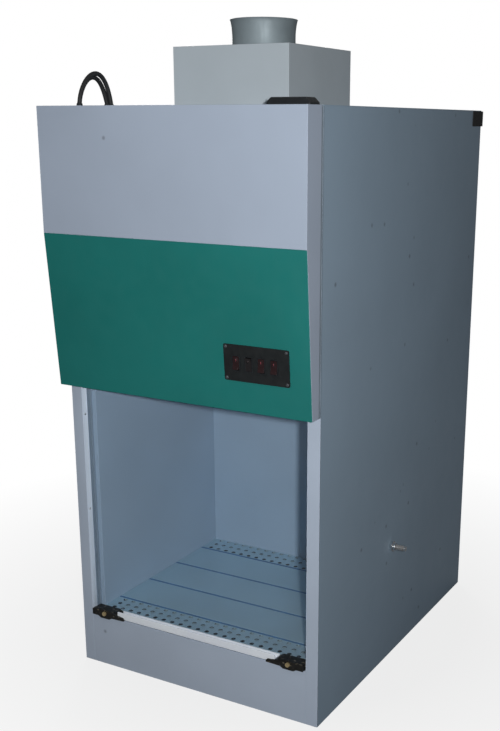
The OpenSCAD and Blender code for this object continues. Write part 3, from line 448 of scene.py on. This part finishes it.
# %% Helpers that pick and change parts of a mesh
def select_only(piece):
    bpy.ops.object.select_all(action="DESELECT")
    piece.select_set(True)
    bpy.context.view_layer.objects.active = piece


def open_mesh(piece, kind="FACE"):
    select_only(piece)
    bpy.ops.object.mode_set(mode="EDIT")
    bpy.ops.mesh.select_mode(type=kind)
    bpy.ops.mesh.select_all(action="DESELECT")


def pick(piece, kind, test):
    """Selects the faces, edges or verts that pass the test, and says how many."""
    bpy.ops.mesh.select_all(action="DESELECT")
    mesh = bmesh.from_edit_mesh(piece.data)
    chosen = [part for part in getattr(mesh, kind) if test(part)]
    for part in chosen:
        part.select_set(True)
    bmesh.update_edit_mesh(piece.data)
    return len(chosen)


def cut(x=None, y=None, z=None):
    """Cuts the whole open mesh along a plane square to one axis."""
    bpy.ops.mesh.select_all(action="SELECT")
    spot = (x or 0, y or 0, z or 0)
    facing = (float(x is not None), float(y is not None), float(z is not None))
    bpy.ops.mesh.bisect(plane_co=spot, plane_no=facing)


def push(value):
    bpy.ops.mesh.extrude_region_move(TRANSFORM_OT_translate={"value": value})


def close_mesh():
    bpy.ops.object.mode_set(mode="OBJECT")


def middle(face):
    return face.calc_center_median()


# %% Helpers that finish a piece
def apply_modifier(piece, kind, **settings):
    select_only(piece)
    step = piece.modifiers.new(kind.lower(), kind)
    for key, value in settings.items():
        setattr(step, key, value)
    bpy.ops.object.modifier_apply(modifier=step.name)


def round_edges(piece, width, segments=3, angle=40):
    apply_modifier(piece, "BEVEL", width=width, segments=segments, limit_method="ANGLE",
                   angle_limit=math.radians(angle))
    select_only(piece)
    bpy.ops.object.shade_smooth_by_angle(angle=math.radians(50))
    apply_modifier(piece, "WEIGHTED_NORMAL", keep_sharp=True)


def dress(piece, material, like, *replaced):
    """Gives a piece its finish, ties it to the body of the node it goes with, and hides the nodes
    it replaces.
    """
    piece.data.materials.clear()
    piece.data.materials.append(material)
    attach(piece, nodes[like]["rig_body"])
    if replaced:
        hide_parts(*replaced)
    return piece


def second_finish(piece, material, test):
    """Gives the faces that pass the test a finish of their own, and says how many."""
    piece.data.materials.append(material)
    open_mesh(piece)
    count = pick(piece, "faces", test)
    piece.active_material_index = 1
    bpy.ops.object.material_slot_assign()
    close_mesh()
    return count


def block(name, low, high):
    """A block between two corners, with its place in its mesh."""
    low, high = Vector(low), Vector(high)
    bpy.ops.object.select_all(action="DESELECT")
    bpy.ops.mesh.primitive_cube_add(size=1, location=(low + high) / 2)
    piece = bpy.context.object
    piece.name = piece.data.name = name
    piece.scale = high - low
    bpy.ops.object.transform_apply(location=True, rotation=True, scale=True)
    return piece


def twin(piece, name, matrix):
    """A copy with its own mesh, moved, turned or mirrored by a matrix."""
    copy = bpy.data.objects.new(name, piece.data.copy())
    bpy.context.scene.collection.objects.link(copy)
    copy.data.transform(matrix)
    if matrix.determinant() < 0:
        copy.data.flip_normals()
    return copy


MIRROR = Matrix.Diagonal((-1, 1, 1, 1))

# %% [markdown]
# ## The hood
# The hood is one folded sheet: an upright face that turns round both corners into the
# cheeks, and over the top. A green sheet is fixed below it on a slight slope, with a folded
# lip at its lower edge. A block is cut at the bend, its lower front edge is drawn back, the
# open sides are deleted, and the skin that is left gets the thickness of the sheet.

# %% Model the upper hood
low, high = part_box("hood_cover")
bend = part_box("hood_panel")[1].z
sheet = 0.002
slope_run = 0.029
near = 0.0001
hood = block("upper_hood", low, high)
open_mesh(hood, "EDGE")
cut(z=bend)
cut(z=bend - 0.0006)
pick(hood, "edges", lambda e: abs(e.verts[0].co.z - e.verts[1].co.z) < near
     and all(v.co.z < bend - 0.0003 and v.co.y < low.y + near for v in e.verts))
bpy.ops.transform.translate(value=(0, sheet + 0.0002, 0))
pick(hood, "edges", lambda e: all(v.co.z < low.z + near and v.co.y < low.y + 0.01 for v in e.verts))
bpy.ops.transform.translate(value=(0, slope_run, 0))
bpy.ops.mesh.select_mode(type="FACE")
pick(hood, "faces", lambda f: f.normal.y > 0.9
     or (f.normal.z < -0.5 and middle(f).z < low.z + near)
     or (f.normal.y < -0.5 and middle(f).z < bend - near)
     or (abs(f.normal.z) > 0.5 and middle(f).z < bend))
bpy.ops.mesh.delete(type="FACE")
close_mesh()
apply_modifier(hood, "SOLIDIFY", thickness=sheet, offset=-1, use_even_offset=True)
round_edges(hood, 0.0009, 3)
dress(hood, hood_grey, "hood_cover", "hood_cover")
print("upper hood", len(hood.data.polygons), "faces")

# %% Model the sloped green panel
low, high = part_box("hood_panel")
plate_low, plate_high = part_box("switch_bezels")
panel = block("sloped_panel", (low.x, low.y, low.z), (high.x, low.y + sheet, high.z))
open_mesh(panel, "EDGE")
pick(panel, "edges", lambda e: all(v.co.z < low.z + near for v in e.verts))
bpy.ops.transform.translate(value=(0, slope_run, 0))
cut(z=low.z + sheet)
bpy.ops.mesh.select_mode(type="FACE")
pick(panel, "faces", lambda f: f.normal.y > 0.5 and middle(f).z < low.z + sheet)
push((0, high.y - low.y - slope_run - sheet, 0))
for x in (plate_low.x - 0.001, plate_high.x + 0.001):
    cut(x=x)
for z in (plate_low.z - 0.001, plate_high.z + 0.001):
    cut(z=z)
holes = pick(panel, "faces", lambda f: abs(f.normal.y) > 0.5
             and plate_low.x < middle(f).x < plate_high.x
             and plate_low.z < middle(f).z < plate_high.z)
bpy.ops.mesh.bridge_edge_loops()
close_mesh()
round_edges(panel, 0.0009, 3)
dress(panel, hood_green, "hood_panel", "hood_panel")
print("sloped panel", len(panel.data.polygons), "faces, window made from", holes)

# %% [markdown]
# ## The shell
# Each side is a single sheet with a flange folded in at the back. The pillars at the front
# are angles: a face and a return beside the opening. Both are blocks whose fold is pulled
# out of one face, and the left-hand ones are mirrored copies. The thin edges that lie in the
# joint with the hood get a dark enamel that is painted shade, so the joint reads as a fine
# dark line of shadow.

# %% Model the side sheets
BASE_CLEAR = 0.03
low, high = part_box("right_side_panel")
side_sheet = block("right_side_sheet", (high.x - sheet, low.y, low.z), high)
open_mesh(side_sheet)
cut(y=high.y - 2 * sheet)
cut(y=high.y - sheet)
cut(z=BASE_CLEAR)
pick(side_sheet, "faces", lambda f: f.normal.x < -0.5 and middle(f).z > BASE_CLEAR
     and high.y - 2 * sheet < middle(f).y < high.y - sheet)
push((-(high.x - sheet - low.x), 0, 0))
close_mesh()
round_edges(side_sheet, 0.0004, 2)
left_sheet = twin(side_sheet, "left_side_sheet", MIRROR)
dress(side_sheet, body_paint, "right_side_panel", "right_side_panel")
dress(left_sheet, body_paint, "left_side_panel", "left_side_panel")
# Painted shade: the front edges of the side sheets in the joint with the hood get the dark enamel.
for piece in (side_sheet, left_sheet):
    print("front edge faces", second_finish(
        piece, joint_shade_paint, lambda f: f.normal.y < -0.3 and middle(f).y < 0))

# %% Model the pillars
low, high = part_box("right_pillar")
pillar = block("right_front_pillar", low, (high.x, low.y + sheet, high.z))
hood_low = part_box("hood_panel")[0].z
open_mesh(pillar)
cut(x=low.x + sheet)
cut(z=BASE_CLEAR)
cut(z=hood_low)
pick(pillar, "faces", lambda f: f.normal.y > 0.5 and middle(f).x < low.x + sheet
     and middle(f).z > BASE_CLEAR)
push((0, high.y - low.y - sheet, 0))
close_mesh()
round_edges(pillar, 0.0008, 3)
left_pillar = twin(pillar, "left_front_pillar", MIRROR)
dress(pillar, frame_paint, "right_pillar", "right_pillar")
dress(left_pillar, frame_paint, "left_pillar", "left_pillar")
# Painted shade: the outer edges of the pillars behind the hood get the dark enamel.
for piece in (pillar, left_pillar):
    print("hidden edge faces", second_finish(
        piece, joint_shade_paint, lambda f: middle(f).z > hood_low and abs(middle(f).x) > high.x - 0.0015))

# %% [markdown]
# ## Screws
# The small screws are one slotted pan head: a short cylinder whose rim is rounded and whose
# slot is cut down between two planes. It is made once, lying on the XY plane and facing up,
# and each copy is turned to face its own way.

# %% Model one slotted screw and place copies
def slotted_screw(name, radius, height):
    bpy.ops.object.select_all(action="DESELECT")
    bpy.ops.mesh.primitive_cylinder_add(vertices=24, radius=radius, depth=height,
                                        location=(0, 0, height / 2))
    screw = bpy.context.object
    screw.name = name
    bpy.ops.object.transform_apply(location=True)
    half_slot = radius * 0.14
    open_mesh(screw, "EDGE")
    pick(screw, "edges", lambda e: all(v.co.z > height * 0.9 for v in e.verts))
    bpy.ops.mesh.bevel(offset=height * 0.45, segments=3, affect="EDGES")
    bpy.ops.mesh.select_mode(type="FACE")
    cut(x=-half_slot)
    cut(x=half_slot)
    pick(screw, "faces", lambda f: f.normal.z > 0.9 and abs(middle(f).x) < half_slot)
    push((0, 0, -height * 0.4))
    close_mesh()
    bpy.ops.object.shade_smooth_by_angle(angle=math.radians(35))
    return screw


def place_screw(pattern, name, spot, facing, turn_angle, material, like):
    turned = Vector(facing).to_track_quat("Z", "Y").to_matrix().to_4x4()
    spin = Matrix.Rotation(turn_angle, 4, "Z")
    return dress(twin(pattern, name, Matrix.Translation(spot) @ turned @ spin), material, like)


# %% [markdown]
# ## Trim beside the opening
# A strip of brushed aluminium lines the return of each pillar next to the opening, and is held
# by two screws. It is thin, so the screen and its clamps still clear it.

# %% Model the aluminium trims and their screws
pattern = slotted_screw("small_screw", 0.0028, 0.0012)
low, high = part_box("right_pillar")
sill_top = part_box("front_sill")[1].z
trim_sheet = 0.0008
trim = block("right_opening_trim", (low.x - trim_sheet, low.y + 0.0004, sill_top + 0.001),
             (low.x, high.y, high.z - 0.004))
open_mesh(trim)
cut(y=high.y - 0.0012)
pick(trim, "faces", lambda f: f.normal.x < -0.5 and middle(f).y > high.y - 0.0012)
push((-0.0006, 0, 0))
close_mesh()
round_edges(trim, 0.0003, 2)
left_trim = twin(trim, "left_opening_trim", MIRROR)
dress(trim, trim_metal, "right_pillar")
dress(left_trim, trim_metal, "left_pillar")
SCREW_HEIGHTS, SCREW_IN = (0.429, 0.681), 0.008
for number, height in enumerate(SCREW_HEIGHTS):
    for side_name, sign in (("left", -1), ("right", 1)):
        spot = (sign * (low.x - trim_sheet), low.y + SCREW_IN, height)
        place_screw(pattern, f"{side_name}_trim_screw_{number + 1}", spot, (-sign, 0, 0),
                    0.6 + number + sign, plated, f"{side_name}_pillar")
bpy.data.objects.remove(pattern)

# %% [markdown]
# ## The exhaust collar
# The collar is spun from one disc of steel: a flat foot, a straight neck, a flared mouth and
# a small rolled bead at its lip. A ring of edges is pulled up and widened step by step, which
# is how a spinner draws the metal along the former.

# %% Spin the collar
low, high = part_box("duct_collar")
centre = Vector(((low.x + high.x) / 2, (low.y + high.y) / 2, low.z))
neck, wall, straight, flare_rise, flare = 0.0765, 0.0015, 0.026, 0.0375, 0.0045
FLARE_STEPS = 6
radius, level = (high.x - low.x) / 2, wall
bpy.ops.object.select_all(action="DESELECT")
bpy.ops.mesh.primitive_circle_add(vertices=96, radius=radius, fill_type="NOTHING",
                                  location=centre + Vector((0, 0, wall)))
collar = bpy.context.object
collar.name = "spun_collar"
bpy.ops.object.transform_apply(location=True)
open_mesh(collar, "EDGE")
bpy.ops.mesh.select_all(action="SELECT")
steps = [(neck + 0.004, wall), (neck + 0.001, wall + 0.001), (neck, wall + 0.004), (neck, straight)]
steps += [(neck + flare * (k / FLARE_STEPS) ** 2, straight + flare_rise * k / FLARE_STEPS)
          for k in range(1, FLARE_STEPS + 1)]
steps += [(neck + 0.0056, 0.0648), (neck + 0.0046, 0.0656), (neck + 0.0034, 0.0650)]
for wide, up in steps:
    push((0, 0, up - level))
    bpy.ops.transform.resize(value=(wide / radius, wide / radius, 1), center_override=centre)
    radius, level = wide, up
close_mesh()
apply_modifier(collar, "SOLIDIFY", thickness=wall, offset=-1)
open_mesh(collar)
bpy.ops.mesh.select_all(action="SELECT")
bpy.ops.mesh.normals_make_consistent(inside=False)
close_mesh()
select_only(collar)
bpy.ops.object.shade_smooth_by_angle(angle=math.radians(50))
dress(collar, collar_steel, "duct_collar", "duct_collar")
print("collar", len(collar.data.polygons), "faces", [round(v, 4) for v in collar.dimensions])

# %% [markdown]
# ## The switch leads
# Two rubber-sheathed leads arch from the hood to the roof. They are stiff enough to stand in
# an arch of their own, and both ends are held in glands, so nothing of them is loose. Each
# follows a smooth curve through a frame of five points, 195 and 175 mm long.

# %% Lay the two leads
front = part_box("front_sill")[0].y
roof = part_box("roof_panel")[1].z
lead_width = 0.0105
FRONT_ENDS = [(-0.2583, -0.0261), (-0.2658, -0.0174)]
REAR_ENDS = [(-0.2655, 0.0957), (-0.2775, 0.0962)]
BOWS = [(0.007, 0.0605, 0.055, 0.1135, 0.0555, 0.010),
        (0.0095, 0.0605, 0.0525, 0.0905, 0.057, 0.0165)]
GLAND_TOP = 0.006


def lead_route(start, end, bow, count=24):
    """Points along a smooth curve that a frame of five points pulls into shape."""
    lean0, up0, mid, up, up1, lean1 = bow
    frame_points = [Vector((start[0], start[1], GLAND_TOP)),
                    Vector((start[0], start[1] + lean0, up0)),
                    Vector(((start[0] + end[0]) / 2, mid, up)),
                    Vector((end[0], end[1] - lean1, up1)),
                    Vector((end[0], end[1], GLAND_TOP))]
    points = []
    for k in range(count + 1):
        t = k / count
        weights = [math.comb(4, i) * t ** i * (1 - t) ** (4 - i) for i in range(5)]
        spot = sum((w * p for w, p in zip(weights, frame_points)), Vector())
        points.append(spot + Vector((0, front, roof)))
    return points


for number, (start, end, bow) in enumerate(zip(FRONT_ENDS, REAR_ENDS, BOWS)):
    points = lead_route(start, end, bow)
    line = bpy.data.curves.new(f"switch_lead_{number + 1}", "CURVE")
    line.dimensions, line.use_fill_caps = "3D", True
    line.bevel_depth, line.bevel_resolution = lead_width / 2, 5
    spline = line.splines.new("POLY")
    spline.points.add(len(points) - 1)
    for knot, point in zip(spline.points, points):
        knot.co = (*point, 1)
    spline.use_smooth = True
    lead = bpy.data.objects.new(f"switch_lead_{number + 1}", line)
    bpy.context.scene.collection.objects.link(lead)
    line.materials.append(rubber)
    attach(lead, "cabinet")
    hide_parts("switch_leads")

# %% [markdown]
# ## Rounded copies
# The remaining pieces have the right shape already, but a sheet or moulding never has a
# knife edge. Each is copied, its loose triangles are merged, its flat faces are made whole
# again, and its edges are rounded by a fifth of a millimetre to one and a half millimetres.

# %% Round the edges of copied pieces
def rounded(node, width, material, segments=2, angle=40):
    copy = bpy.data.objects.new("rounded_" + node, nodes[node].data.copy())
    bpy.context.scene.collection.objects.link(copy)
    open_mesh(copy, "VERT")
    bpy.ops.mesh.customdata_custom_splitnormals_clear()
    bpy.ops.mesh.select_all(action="SELECT")
    bpy.ops.mesh.remove_doubles(threshold=0.00002)
    bpy.ops.mesh.dissolve_limited(angle_limit=math.radians(0.4))
    close_mesh()
    round_edges(copy, width, segments, angle)
    return dress(copy, material, node, node)


ROUNDING = [
    ("rear_panel", 0.0007, body_paint), ("roof_panel", 0.0007, body_paint),
    ("front_sill", 0.0008, frame_paint),
    ("exhaust_box", 0.0009, duct_paint), ("wiring_cover", 0.0016, black_plastic),
    ("left_bumper", 0.0012, rubber), ("right_bumper", 0.0012, rubber),
    ("switch_plate", 0.0005, plate_dark), ("switch_bezels", 0.0005, black_plastic),
    ("rocker_1", 0.0008, red_lens), ("rocker_2", 0.0008, dark_lens),
    ("rocker_3", 0.0008, red_lens), ("rocker_4", 0.0008, red_lens),
    ("sash_pane", 0.0008, clear), ("sash_rail", 0.0007, anodised),
    ("left_sash_clamp", 0.0010, clamp_iron), ("right_sash_clamp", 0.0010, clamp_iron),
    ("left_clamp_screw", 0.0004, brass), ("right_clamp_screw", 0.0004, brass),
    ("front_grille", 0.0002, stainless_with_painted_reflection), ("rear_grille", 0.0002, stainless_with_painted_reflection),
    ("front_tray", 0.0006, stainless_with_painted_reflection), ("middle_tray", 0.0006, stainless_with_painted_reflection),
    ("rear_tray", 0.0006, stainless_with_painted_reflection),
    ("cock_lever", 0.0008, orange_plastic), ("lead_glands", 0.0005, black_plastic),
    ("left_chamber_wall", 0.0006, chamber_paint), ("right_chamber_wall", 0.0006, chamber_paint),
    ("back_chamber_wall", 0.0006, chamber_paint), ("left_sash_guide", 0.0005, guide_grey),
    ("right_sash_guide", 0.0005, guide_grey), ("fluorescent_holders", 0.0008, white_moulding),
    ("uv_holders", 0.0008, white_moulding),
]
finished = {}
for node, width, material in ROUNDING:
    finished[node] = rounded(node, width, material)
print("rounded", len(ROUNDING), "pieces")

# %% [markdown]
# ## Dark holes in the grilles
# Seen on the slant, a punched hole shows mostly its own wall. The faces inside the holes get
# the near-black finish of the base pan as painted shade, so the holes read as dark, shadowed
# openings.

# %% Darken the walls of the punched holes
HOLE_DEPTH, PLAIN_EDGE = 0.0025, 0.004
# Painted shade: the faces inside the holes take the near-black finish of the base pan.
for node in ("front_grille", "rear_grille"):
    grille = finished[node]
    low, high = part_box(node)
    print(node, "faces inside holes", second_finish(
        grille, sump_and_hole_shade, lambda f: abs(f.normal.z) < 0.9 and middle(f).z > high.z - HOLE_DEPTH
        and abs(middle(f).x) < high.x - PLAIN_EDGE
        and low.y + PLAIN_EDGE < middle(f).y < high.y - PLAIN_EDGE))

# %% [markdown]
# ## Marks on the rockers
# Each rocker is a smoked lens with a raised bar on its upper half, the plain mark for on. The
# bars of the three red rockers are a bright red that is painted glow of their lamps; the bar of
# the second rocker is dark. The upper face is inset to a small square, narrowed to a bar, and
# raised by a quarter of a millimetre.

# %% Raise the bar on each rocker
BAR_INSET, BAR_WIDTH, BAR_RISE = 0.0044, 0.28, 0.00025
for number in range(1, 5):
    rocker = finished[f"rocker_{number}"]
    # Painted glow: rockers 1, 3 and 4 get the bright red bar, rocker 2 the dark one.
    rocker.data.materials.append(dim_mark if number == 2 else red_mark_glow)
    open_mesh(rocker)
    middle_z = sum(v.co.z for v in rocker.data.vertices) / len(rocker.data.vertices)
    upper = max((f for f in bmesh.from_edit_mesh(rocker.data).faces
                 if f.normal.y < -0.7 and middle(f).z > middle_z), key=lambda f: f.calc_area())
    spot, out = upper.calc_center_median(), upper.normal.copy()
    upper.select_set(True)
    bmesh.update_edit_mesh(rocker.data)
    bpy.ops.mesh.inset(thickness=BAR_INSET)
    bpy.ops.transform.resize(value=(BAR_WIDTH, 1, 1), center_override=spot)
    push(out * BAR_RISE)
    rocker.active_material_index = 1
    bpy.ops.object.material_slot_assign()
    close_mesh()
    print("rocker", number, "bar at", [round(v, 4) for v in spot])

# %% Print the visual size
low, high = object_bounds()
print("visual size", [round(v, 3) for v in high - low])
